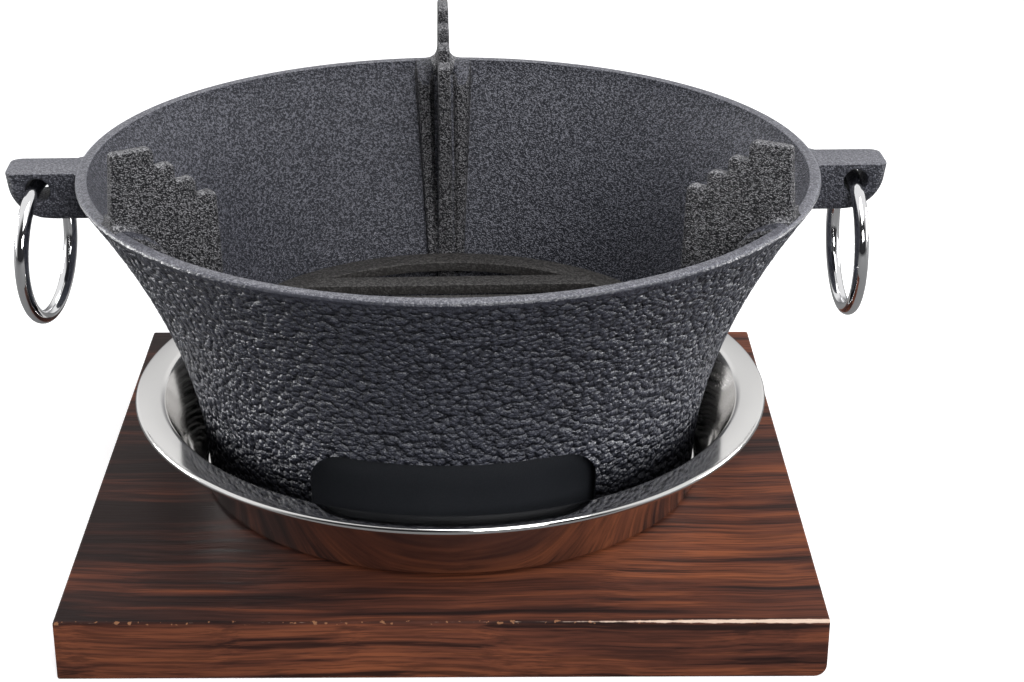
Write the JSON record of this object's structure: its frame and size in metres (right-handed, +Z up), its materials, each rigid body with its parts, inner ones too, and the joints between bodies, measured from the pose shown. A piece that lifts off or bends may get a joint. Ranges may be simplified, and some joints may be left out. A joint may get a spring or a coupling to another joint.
{
  "type": "table-top charcoal grill",
  "caption": "Cast-iron charcoal grill with a flared bowl, stepped pot rests and bail rings, standing in a polished steel ash tray on a stained wooden board",
  "frame": {"origin": "on the ground under the fire bowl's axis", "axes": "+X runs through the two ears, towards the viewer's right; +Y points to the back pot rest; +Z is up"},
  "size_m": [0.3314, 0.28, 0.174],
  "materials": {
    "board_wood": "dark reddish-brown stain over long straight grain, satin",
    "tray_steel": "mirror-polished stainless steel",
    "bowl_iron": "blue-black seasoned iron, hammered outside, sand-cast grain inside, satin",
    "grate_iron": "smooth dark iron, satin",
    "door_iron": "smooth dark iron, satin",
    "ring_chrome": "bright chromed steel wire"
  },
  "bodies": {
    "base": {"wooden_base": "board_wood"},
    "tray": {"ash_tray": "tray_steel"},
    "bowl": {"fire_bowl": "bowl_iron"},
    "grate": {"charcoal_grate": "grate_iron"},
    "door": {"air_door": "door_iron"},
    "left_ring": {"left_ring": "ring_chrome"},
    "right_ring": {"right_ring": "ring_chrome"}
  },
  "joints": [
    {"name": "tray_lift", "type": "slide", "parent": "base", "child": "tray", "axis": [0, 0, 1], "range_m": [0, 0.04]},
    {"name": "bowl_lift", "type": "slide", "parent": "tray", "child": "bowl", "axis": [0, 0, 1], "range_m": [0, 0.05]},
    {"name": "grate_lift", "type": "slide", "parent": "bowl", "child": "grate", "axis": [0, 0, 1], "range_m": [0, 0.11]},
    {"name": "door_turn", "type": "hinge", "parent": "bowl", "child": "door", "pos_m": [0, 0, 0.0248], "axis": [0, 0, 1], "range_deg": [-15, 15]},
    {"name": "left_ring_swing", "type": "hinge", "parent": "bowl", "child": "left_ring", "pos_m": [-0.1538, 0, 0.1397], "axis": [0, 1, 0], "range_deg": [-38, 215]},
    {"name": "right_ring_swing", "type": "hinge", "parent": "bowl", "child": "right_ring", "pos_m": [0.1538, 0, 0.1397], "axis": [0, -1, 0], "range_deg": [-38, 215]}
  ]
}
